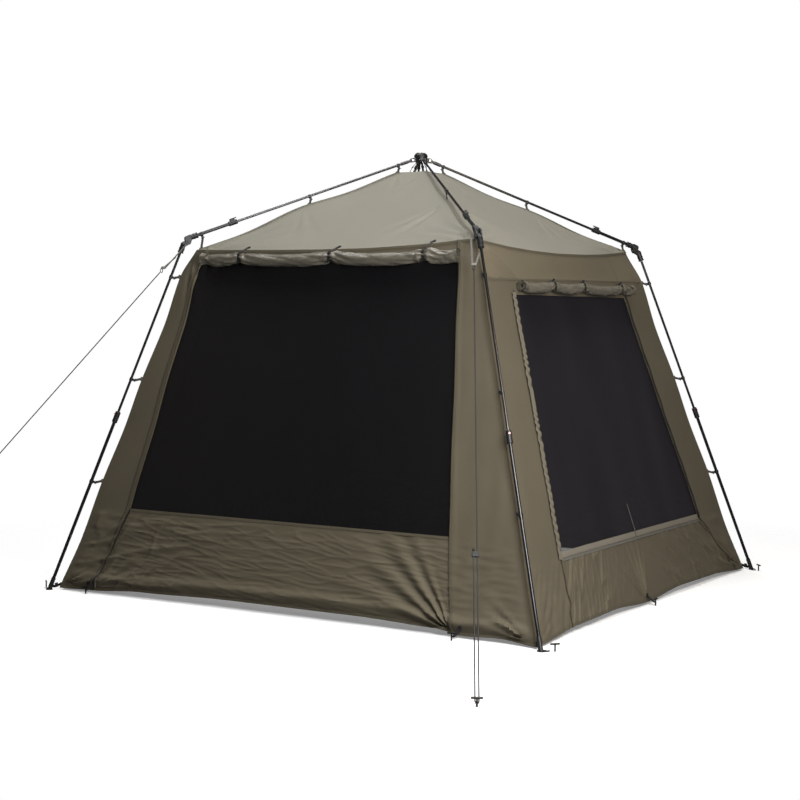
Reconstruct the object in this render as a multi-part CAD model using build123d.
"""Quick-pitch screen house: an outer folding frame with a cloth shelter hung inside it.

Millimetres. +Z is up, the front wall with the wide mesh door faces -Y, and the
origin is on the ground, below the hub. Rest pose: pitched, poles locked out.
"""

from build123d import *
import os

# ---- frame layout ----
HUB_Z = 2150.0  # where the lines of the four roof poles meet
ELBOW_X, ELBOW_Y, ELBOW_Z = 812.0, 875.0, 1713.0
FOOT_X, FOOT_Y = 1334.0, 1276.5
CORNERS = {
    "front_left": (-1, -1),
    "front_right": (1, -1),
    "back_right": (1, 1),
    "back_left": (-1, 1),
}

# ---- poles ----
ROD_R, ROD_WALL = 6.25, 1.0  # thin inner tube
TUBE_R, TUBE_WALL = 8.0, 1.3  # thick outer tube that slides over it
GRIP = 0.05  # radial gap of a glued or pressed collar
SLIP = 0.35  # radial gap of a sliding collar
ROOF_SPLIT = 1017.0  # from the hub centre to the start of the outer roof tube
ROOF_OVERLAP = 60.0
LEG_SPLIT = 927.0  # from the elbow to the top of the lower leg tube
LEG_OVERLAP = 110.0
COLLAR_R = 12.0
LEG_COLLAR_R = 13.0

# ---- hub ----
PIVOT_R = 45.0  # hinge pins, from the hub's axis
HUB_R, HUB_LOW, HUB_TOP = 32.0, 2125.0, 2150.0
CAP_R, CAP_HEIGHT = 34.5, 20.0
EAR_GAP, EAR_THICK = 7.5, 5.5  # half the slot, and each ear
PIN_R = 3.0
EYE_R, EYE_HALF = 9.0, 6.0

# ---- elbow ----
ELBOW_OFFSET = 17.0  # hinge pin to each pole's line, so that the poles fold side by side
KNUCKLE_R = 13.0
SOCKET_START, SOCKET_END = 24.0, 63.0  # along each pole, from the elbow
ELBOW_SLOT, ELBOW_HALF = 8.0, 14.0  # half the slot, half the clevis
ELBOW_PIN_R = 4.0

# ---- leg button ----
BUTTON_R, BUTTON_LOW, BUTTON_HIGH = 4.2, 11.2, 15.5
BUTTON_AT = LEG_SPLIT - 10.0

# ---- foot ----
FOOT_R, FOOT_LENGTH = 10.5, 62.0
PLATE_R, PLATE_THICK = 16.0, 5.0
TAB_REACH, TAB_R, TAB_HOLE_R = 27.0, 10.0, 4.5

# ---- cloth ----
EAVE_X, EAVE_Y, EAVE_Z = 768.0, 827.0, 1693.0
HEM_X, HEM_Y, HEM_Z = 1282.0, 1227.0, 8.0
HEM_RISE = 34.0  # the hems are drawn up between the corners
APEX_HALF, APEX_Z = 85.0, 2070.0
CLOTH = 2.0
SEAM_GAP = 2.0
DOOR = ((-710, 1596), (690, 1596), (815, 405), (-925, 405))  # along the wall, height
WINDOW = ((-585, 1450), (612, 1450), (826, 316), (-800, 316))
ROLL = {"front": (-700, 715, 1612, 35.0), "right": (-560, 705, 1487, 27.0)}  # from, to, height, radius
ROLL_GAP = 4.0
TIES = {"front": (-470, 45, 545), "right": (-235, 95, 545)}
TIE_WIDTH = 14.0

# ---- straps, pegs and guys ----
ROOF_CLIPS = (127.0, 612.0, 1188.0)  # from the hub
LEG_CLIPS = (196.0, 731.0, 1266.0)  # from the elbow
CLIP_WIDTH, CLIP_R = 14.0, TUBE_R + 0.8
STRAP = (12.0, 1.6)
CROWN_STRAP_TOP, CROWN_STRAP_LOW = 22.0, 52.8  # outward from the hub's axis
GUY_STRAP = (10.0, 1.4)
PEG_R, PEG_HEAD_R, PEG_HEAD, PEG_Z, PEG_LOW = 3.5, 4.0, 40.0, 32.0, 1.5
GROUND_PEGS = [(-1103, -1272), (924, -1284), (1322, -42), (-1322, -42), (-924, 1284), (1103, 1272)]
CORNER_PEG = (48.0, -30.0)  # outward along X and Y from each foot
CORD_R = 2.5
GUY_TOP = (858.0, -1001.0, 1557.0)  # ring at the bottom of the guy straps
GUY_PEG = (1564.0, -2227.0)
GUY_PEG_HOLD = 20.0  # height of the rope on its peg
STRAND_GAP = 14.0
DOUBLED = 640.0  # length of the returning strand
RING_R, RING_WIRE = 9.0, 2.0
RUNNER = (27.0, 8.0, 22.0)

parts = {}


def lathe(plane, *steps):
    """Coaxial stack along a plane's normal. Each step is (from, to, outer radius, inner radius)."""
    solid = None
    for low, high, outer, inner in steps:
        ring = Circle(outer) if not inner else Circle(outer) - Circle(inner)
        piece = extrude(plane.offset(low) * ring, amount=high - low)
        solid = piece if solid is None else solid + piece
    return solid


def slab(plane, outline, half):
    """An outline in a plane, thickened by half on both sides."""
    return extrude(plane * outline, amount=half, both=True)


def strap(start, end, width=STRAP[0], thick=STRAP[1], across=Vector(0, 0, 1)):
    """Flat webbing from one point to another, its width lying near across."""
    run = end - start
    side = (across - run.normalized() * across.dot(run.normalized())).normalized()
    plane = Plane(origin=start, x_dir=side, z_dir=run.normalized())
    return extrude(plane * Rectangle(width, thick), amount=run.length)


class Corner:
    """The lines and planes of one roof pole and its leg."""

    def __init__(self, sx, sy):
        self.sx, self.sy = sx, sy
        self.hub = Vector(0, 0, HUB_Z)
        self.elbow = Vector(sx * ELBOW_X, sy * ELBOW_Y, ELBOW_Z)
        self.foot = Vector(sx * FOOT_X, sy * FOOT_Y, 0)
        self.arm = (self.elbow - self.hub).normalized()
        self.leg = (self.foot - self.elbow).normalized()
        self.leg_length = (self.foot - self.elbow).length
        self.arm_length = (self.elbow - self.hub).length
        self.hinge = self.arm.cross(self.leg).normalized()
        self.out = Vector(self.arm.X, self.arm.Y, 0).normalized()
        self.tangent = self.out.cross(Vector(0, 0, 1))
        self.hub_pivot = self.hub + self.arm * (PIVOT_R / self.arm.dot(self.out))
        half_turn = (self.leg - self.arm).normalized()
        self.elbow_pivot = self.elbow + half_turn * (ELBOW_OFFSET / half_turn.cross(self.arm).length)
        # along each pole, with the hinge axis across
        self.arm_line = Plane(origin=self.hub, x_dir=self.hinge, z_dir=self.arm)
        self.leg_line = Plane(origin=self.elbow, x_dir=self.hinge, z_dir=self.leg)
        # in the plane of the two poles, X along the pole
        self.arm_side = Plane(origin=self.elbow, x_dir=self.arm, z_dir=self.hinge)
        self.leg_side = Plane(origin=self.elbow, x_dir=self.leg, z_dir=self.hinge)
        # inward, across the leg
        self.leg_inward = self.hinge.cross(self.leg)

    def on_arm(self, distance):
        return self.hub + self.arm * distance

    def on_leg(self, distance):
        return self.elbow + self.leg * distance


def hub_side(corner):
    """Upright plane through the hub's axis and one roof pole: X outward, Y up."""
    return Plane(origin=(0, 0, 0), x_dir=corner.out, z_dir=corner.tangent)


def hub_body(corners):
    body = Pos(0, 0, (HUB_LOW + HUB_TOP) / 2) * Cylinder(HUB_R, HUB_TOP - HUB_LOW)
    body = fillet(body.edges().group_by(Axis.Z)[0], 6)
    for corner in corners.values():
        z = corner.hub_pivot.Z
        side = hub_side(corner)
        outline = make_hull(
            (
                Pos(24, (HUB_LOW + HUB_TOP) / 2) * Rectangle(6, HUB_TOP - HUB_LOW - 6)
                + Pos(PIVOT_R, z) * Circle(10.5)
                + Pos(60, z - 7) * Circle(5)
            ).edges()
        )
        for sign in (1, -1):
            ear = extrude(side.offset(sign * (EAR_GAP + EAR_THICK / 2)) * outline, EAR_THICK / 2, both=True)
            body += ear
    for corner in corners.values():
        body -= slab(hub_side(corner), Pos(PIVOT_R, corner.hub_pivot.Z) * Circle(PIN_R + GRIP), 20)
    return body


def hub_cap():
    """Shallow dome over the hub, with a rolled rim."""
    disc = Pos(0, 0, HUB_TOP + CAP_HEIGHT / 2) * Cylinder(CAP_R, CAP_HEIGHT)
    return fillet(disc.edges().group_by(Axis.Z)[-1], CAP_HEIGHT - 4)


def hub_pins(corners):
    pins = []
    reach = EAR_GAP + EAR_THICK
    for corner in corners.values():
        plane = Plane(origin=corner.hub_pivot, z_dir=corner.tangent)
        pins.append(
            lathe(
                plane,
                (-reach - 2.2, -reach - 0.2, 5, 0),
                (-reach - 0.2, reach + 0.2, PIN_R, 0),
                (reach + 0.2, reach + 2.2, 5, 0),
            )
        )
    return pins


def roof_rod(corner):
    """Thin roof pole with its moulded hinge eye."""
    pivot_at = (corner.hub_pivot - corner.hub).length
    line = corner.arm_line
    eye = Plane(origin=corner.hub_pivot, z_dir=corner.tangent)
    rod = extrude(eye * Circle(EYE_R), EYE_HALF, both=True)
    rod += lathe(
        line,
        (pivot_at, pivot_at + 26, 6.6, 0),
        (pivot_at + 25, pivot_at + 62, 8.5, 0),
        (pivot_at + 60, ROOF_SPLIT + ROOF_OVERLAP, ROD_R, ROD_R - ROD_WALL),
    )
    return rod - extrude(eye * Circle(PIN_R + 0.3), 20, both=True)


def roof_tube(corner):
    end = corner.arm_length - SOCKET_START - 4
    return lathe(corner.arm_line, (ROOF_SPLIT, end, TUBE_R, TUBE_R - TUBE_WALL))


def collar(line, split, above, below, radius):
    """Lock collar: slides on the thin tube above the split and grips the thick one below it."""
    body = lathe(line, (split - above, split + below, radius, TUBE_R + GRIP))
    body += lathe(line, (split - above, split - 0.2, radius, ROD_R + SLIP))
    ends = body.edges().filter_by(GeomType.CIRCLE).filter_by(lambda e: abs(e.radius - radius) < 0.01)
    return chamfer(ends, 1.5)


def roof_lock(corner):
    return collar(corner.arm_line, ROOF_SPLIT, 17, 28, COLLAR_R)


def elbow_clevis(corner):
    """Upper half of the elbow: a socket for the roof tube, two ears and the hinge pin."""
    end = corner.arm_length
    body = lathe(corner.arm_line, (end - SOCKET_END, end - SOCKET_START, KNUCKLE_R, 0))
    pivot = corner.arm_side.to_local_coords(corner.elbow_pivot)
    ears = make_hull(
        (
            Pos(-SOCKET_START - 1.5, 0) * Rectangle(3, 2 * KNUCKLE_R)
            + Pos(pivot.X, pivot.Y) * Circle(KNUCKLE_R)
            + Pos(-8, 0) * Circle(KNUCKLE_R - 1)
        ).edges()
    )
    body += slab(corner.arm_side, ears, ELBOW_HALF)
    slot = Pos(pivot.X + 40, pivot.Y) * Rectangle(110, 90) & Pos(40 - SOCKET_START, 0) * Rectangle(80, 140)
    slot += Pos(pivot.X + 40, KNUCKLE_R + 45) * Rectangle(140, 90)
    body -= slab(corner.arm_side, slot, ELBOW_SLOT)
    body -= lathe(corner.arm_line, (end - SOCKET_END - 1, end - SOCKET_START - 4, TUBE_R + GRIP, 0))
    pin = Plane(origin=corner.elbow_pivot, z_dir=corner.hinge)
    body += lathe(
        pin,
        (-ELBOW_HALF - 3, -ELBOW_HALF, 7, 0),
        (-ELBOW_HALF, ELBOW_HALF, ELBOW_PIN_R, 0),
        (ELBOW_HALF, ELBOW_HALF + 3, 7, 0),
    )
    return body


def elbow_knuckle(corner):
    """Lower half of the elbow: a socket for the leg and the tongue that turns on the pin."""
    pivot = corner.leg_side.to_local_coords(corner.elbow_pivot)
    body = lathe(corner.leg_line, (SOCKET_START, SOCKET_END + 8, KNUCKLE_R, 0))
    root = Pos(SOCKET_START + 4, 0) * Rectangle(12, 2 * KNUCKLE_R - 2)
    tongue = make_hull((root + Pos(pivot.X, pivot.Y) * Circle(KNUCKLE_R - 0.5)).edges())
    body += slab(corner.leg_side, tongue, ELBOW_SLOT - 0.6)
    body -= lathe(corner.leg_line, (SOCKET_START + 4, SOCKET_END + 9, ROD_R + GRIP, 0))
    pin = Plane(origin=corner.elbow_pivot, z_dir=corner.hinge)
    return body - extrude(pin * Circle(ELBOW_PIN_R + 0.3), 20, both=True)


def leg_upper(corner):
    return lathe(corner.leg_line, (SOCKET_START + 5, LEG_SPLIT + LEG_OVERLAP, ROD_R, ROD_R - ROD_WALL))


def leg_lower(corner):
    return lathe(corner.leg_line, (LEG_SPLIT, corner.leg_length - 30, TUBE_R, TUBE_R - TUBE_WALL))


def button_plane(corner):
    """At the button, its normal pointing out of the leg."""
    return Plane(origin=corner.on_leg(BUTTON_AT), x_dir=corner.leg, z_dir=corner.leg_inward * -1)


def leg_lock(corner):
    body = collar(corner.leg_line, LEG_SPLIT, 24, 32, LEG_COLLAR_R)
    return body - lathe(button_plane(corner), (BUTTON_LOW - 2.3, 30, BUTTON_R + 0.3, 0))


def leg_button(corner):
    return lathe(button_plane(corner), (BUTTON_LOW, BUTTON_HIGH, BUTTON_R, 0))


def foot(corner):
    """Cap on the leg's end, with a ground plate and a peg hole in its tab."""
    end = corner.leg_length
    body = lathe(corner.leg_line, (end - FOOT_LENGTH, end + 12, FOOT_R, 0))
    body &= Pos(corner.foot.X, corner.foot.Y, 101) * Box(200, 200, 200)
    body -= lathe(corner.leg_line, (end - FOOT_LENGTH - 1, end - 29.5, TUBE_R + GRIP, 0))
    away = Vector(corner.sx, -corner.sy, 0).normalized()
    hole = corner.foot + away * TAB_REACH
    disc = Pos(corner.foot.X, corner.foot.Y) * Circle(PLATE_R)
    body += extrude(make_hull((disc + Pos(hole.X, hole.Y) * Circle(TAB_R)).edges()), PLATE_THICK)
    return body - Pos(hole.X, hole.Y, 0) * Cylinder(TAB_HOLE_R, 40)


class Wall:
    """One sloping cloth wall: X along it, Y up it, the normal outward."""

    def __init__(self, right, out, half_eave, half_hem, eave_out, hem_out):
        self.half_eave, self.half_hem = half_eave, half_hem
        low = out * hem_out + Vector(0, 0, HEM_Z)
        up = out * eave_out + Vector(0, 0, EAVE_Z) - low
        self.height = up.length
        self.per_z = up.length / (EAVE_Z - HEM_Z)
        self.plane = Plane(origin=low, x_dir=right, z_dir=right.cross(up.normalized()))

    def point(self, along, z):
        return along, (z - HEM_Z) * self.per_z

    def panel(self):
        hem, eave = self.half_hem - SEAM_GAP, self.half_eave - SEAM_GAP
        top = self.height - SEAM_GAP
        edge = ThreePointArc((-hem, 0), (0, HEM_RISE), (hem, 0))
        edge += Polyline((hem, 0), (eave, top), (-eave, top), (-hem, 0))
        return extrude(self.plane * make_face(edge), -CLOTH)

    def opening(self, outline, inset=0.0):
        shape = make_face(Polyline(*[self.point(*p) for p in outline], close=True))
        if inset:
            shape = offset(shape, -inset, kind=Kind.INTERSECTION)
        return shape

    def cut(self, outline):
        return self.panel() - extrude(self.plane * self.opening(outline), 10, both=True)

    def filling(self, outline):
        return extrude(self.plane * self.opening(outline, SEAM_GAP), -CLOTH)

    def roll(self, start, stop, z, radius):
        """A cover rolled up above its opening."""
        along = self.plane.x_dir
        height = self.point(0, z)[1]
        centre = self.plane.from_local_coords(Vector(start, height, radius + ROLL_GAP))
        line = Plane(origin=centre, z_dir=along)
        return lathe(line, (0, stop - start, radius, 0))

    def ties(self, places, start, stop, z, radius):
        height = self.point(0, z)[1]
        rings = []
        for place in places:
            centre = self.plane.from_local_coords(Vector(place, height, radius + ROLL_GAP))
            line = Plane(origin=centre, z_dir=self.plane.x_dir)
            rings.append(lathe(line, (-TIE_WIDTH / 2, TIE_WIDTH / 2, radius + 2.0, radius + 0.6)))
        return rings


def walls():
    x, y = Vector(1, 0, 0), Vector(0, 1, 0)
    return {
        "front": Wall(x, y * -1, EAVE_X, HEM_X, EAVE_Y, HEM_Y),
        "back": Wall(x * -1, y, EAVE_X, HEM_X, EAVE_Y, HEM_Y),
        "right": Wall(y, x, EAVE_Y, HEM_Y, EAVE_X, HEM_X),
        "left": Wall(y * -1, x * -1, EAVE_Y, HEM_Y, EAVE_X, HEM_X),
    }


def mirrored(outline):
    return tuple((-x, z) for x, z in outline)


def roof():
    """Hipped roof, open below, with a small flat crown under the hub."""

    def frustum(inset, drop):
        base = Rectangle(2 * (EAVE_X - inset), 2 * (EAVE_Y - inset))
        crown = Rectangle(2 * (APEX_HALF - inset / 4), 2 * (APEX_HALF - inset / 4))
        return loft([Pos(0, 0, EAVE_Z + SEAM_GAP - drop) * base, Pos(0, 0, APEX_Z - drop) * crown])

    return frustum(0, 0) - frustum(0.5, 3.0)


def clip(line, distance, cloth):
    """Hook ring round a pole, wide enough for the thick tube, and its webbing towards the cloth."""
    here = line.offset(distance)
    ring = lathe(here, (-CLIP_WIDTH / 2, CLIP_WIDTH / 2, CLIP_R + 2.6, CLIP_R))
    away = cloth - here.origin
    away -= here.z_dir * away.dot(here.z_dir)
    inward = away.normalized()
    start = here.origin + inward * (CLIP_R + 2.2)
    end = here.origin + inward * (away.length - 7)
    return ring + strap(start, end, across=here.z_dir)


def pole_straps(corners):
    """Hooks that hang the cloth from the poles, crown straps and guy straps."""
    pieces = []
    for corner in corners.values():
        sx, sy = corner.sx, corner.sy
        crown = Vector(sx * APEX_HALF, sy * APEX_HALF, APEX_Z)
        eave = Vector(sx * EAVE_X, sy * EAVE_Y, EAVE_Z)
        hem = Vector(sx * HEM_X, sy * HEM_Y, HEM_Z)
        for distance in ROOF_CLIPS:
            share = (distance - ROOF_CLIPS[0]) / (corner.arm_length - ROOF_CLIPS[0])
            pieces.append(clip(corner.arm_line, distance, crown + (eave - crown) * share))
        for distance in LEG_CLIPS:
            share = distance / corner.leg_length
            pieces.append(clip(corner.leg_line, distance, eave + (hem - eave) * share))
        high = corner.out * CROWN_STRAP_TOP + Vector(0, 0, HUB_LOW - 3)
        low = corner.out * CROWN_STRAP_LOW + Vector(0, 0, APEX_Z + 4)
        pieces.append(strap(high, low, across=corner.tangent))
    for sx, name in ((1, "front_right"), (-1, "front_left")):
        corner = corners[name]
        ring = Vector(sx * GUY_TOP[0], GUY_TOP[1], GUY_TOP[2])
        pull = guy_run(sx)
        pieces.append(Plane(origin=ring, z_dir=Vector(1, 0, 0)) * Torus(RING_R, RING_WIRE))
        top = ring - pull * (RING_R + RING_WIRE + 1.5)
        front = corner.elbow + Vector(-sx * 26, -22, -24)
        leg = corner.on_leg(96) + Vector(0, -22, 0)
        for begin, shift in ((front, -7), (leg, 7)):
            pieces.append(strap(begin, top + Vector(sx * shift, 0, 0), *GUY_STRAP, Vector(1, 0, 0)))
    return pieces


def peg(x, y, turn=0.0):
    """The part of a T-headed peg that stands out of the ground."""
    shank = Pos(x, y, (PEG_LOW + PEG_Z) / 2) * Cylinder(PEG_R, PEG_Z - PEG_LOW)
    head = Pos(x, y, PEG_Z) * Rot(0, 0, turn) * Rot(90, 0, 0) * Cylinder(PEG_HEAD_R, PEG_HEAD)
    return shank + fillet(head.edges(), 1.5)


def ground_pegs():
    pegs = [peg(x, y, 90 if abs(x) < abs(y) else 0) for x, y in GROUND_PEGS]
    for sx, sy in CORNERS.values():
        pegs.append(peg(sx * (FOOT_X + CORNER_PEG[0]), sy * (FOOT_Y + CORNER_PEG[1]), 45 * sx * sy))
    return pegs


def guy_run(sx):
    """Direction of a guy, from its ring down to its peg."""
    ring = Vector(sx * GUY_TOP[0], GUY_TOP[1], GUY_TOP[2])
    hold = Vector(sx * GUY_PEG[0], GUY_PEG[1], GUY_PEG_HOLD)
    return (hold - ring).normalized()


def guy_side(sx):
    """Level direction from the long strand to the returning one."""
    return guy_run(sx).cross(Vector(0, 0, 1)).normalized() * sx


def guy_route(sx):
    """Down from the ring, round the peg and back up beside itself."""
    run, side = guy_run(sx), guy_side(sx)
    ring = Vector(sx * GUY_TOP[0], GUY_TOP[1], GUY_TOP[2])
    hold = Vector(sx * GUY_PEG[0], GUY_PEG[1], GUY_PEG_HOLD)
    start = ring + run * (RING_R + RING_WIRE + 0.6)
    turn = hold + run * 9
    back = turn + side * STRAND_GAP
    return [start, turn, back, back - run * DOUBLED]


def guy_cord(sx):
    """Tight rope that ends in a knot above its runner."""
    route = guy_route(sx)
    radius = 0.45 * STRAND_GAP
    path = FilletPolyline(*route, radius=[radius, radius])
    start = Plane(origin=route[0], z_dir=route[1] - route[0])
    rope = sweep(start * Circle(CORD_R), path=path)
    length = path.length
    print(f"guy {sx:+d}: length {length:.0f} mm, radii {radius:.1f} mm, "
          f"volume share {rope.volume / (length * 3.14159265 * CORD_R**2):.4f}")
    return rope + Pos(*route[-1]) * Sphere(2.1 * CORD_R)


def guy_runner(sx):
    """Plastic slider with a hole for each strand."""
    run, side = guy_run(sx), guy_side(sx)
    end = guy_route(sx)[-1]
    centre = end + run * (RUNNER[2] / 2 + 8) - side * STRAND_GAP / 2
    plane = Plane(origin=centre, x_dir=side, z_dir=run)
    body = extrude(plane * RectangleRounded(RUNNER[0], RUNNER[1], 3), RUNNER[2] / 2, both=True)
    for sign in (1, -1):
        body -= extrude(plane * Pos(sign * STRAND_GAP / 2, 0) * Circle(CORD_R + 0.6), 30, both=True)
    return body


def guy_pegs():
    pegs = []
    for sx in (1, -1):
        middle = Vector(sx * GUY_PEG[0], GUY_PEG[1], 0) + guy_side(sx) * STRAND_GAP / 2
        pegs.append(peg(middle.X, middle.Y, -60 * sx))
    return pegs


def build():
    corners = {name: Corner(*signs) for name, signs in CORNERS.items()}
    parts["hub_body"] = hub_body(corners)
    parts["hub_cap"] = hub_cap()
    parts["hub_pins"] = hub_pins(corners)
    makers = (
        roof_rod, roof_tube, roof_lock, elbow_clevis, elbow_knuckle,
        leg_upper, leg_lower, leg_lock, leg_button, foot,
    )
    for name, corner in corners.items():
        for make in makers:
            parts[f"{make.__name__}_{name}"] = make(corner)
    side = walls()
    outlines = {"front": DOOR, "right": WINDOW, "back": mirrored(DOOR), "left": mirrored(WINDOW)}
    for name, wall in side.items():
        parts[f"{name}_wall"] = wall.cut(outlines[name])
    parts["mesh_panels"] = [side[name].filling(outlines[name]) for name in ("front", "right")]
    parts["closed_covers"] = [side[name].filling(outlines[name]) for name in ("back", "left")]
    parts["roof"] = roof()
    for name, numbers in ROLL.items():
        parts[f"{name}_roll"] = side[name].roll(*numbers)
    parts["roll_ties"] = [ring for name in ROLL for ring in side[name].ties(TIES[name], *ROLL[name])]
    parts["pole_straps"] = pole_straps(corners)
    parts["ground_pegs"] = ground_pegs()
    parts["guy_pegs"] = guy_pegs()
    for sx, name in ((1, "right"), (-1, "left")):
        parts[f"{name}_guy"] = guy_cord(sx)
        parts[f"{name}_runner"] = guy_runner(sx)


def save():
    os.makedirs("parts", exist_ok=True)
    for name, shape in parts.items():
        solids = [s for piece in (shape if isinstance(shape, list) else [shape]) for s in piece.solids()]
        export_step(solids[0] if len(solids) == 1 else Compound(children=solids), f"parts/{name}.step")


build()
save()
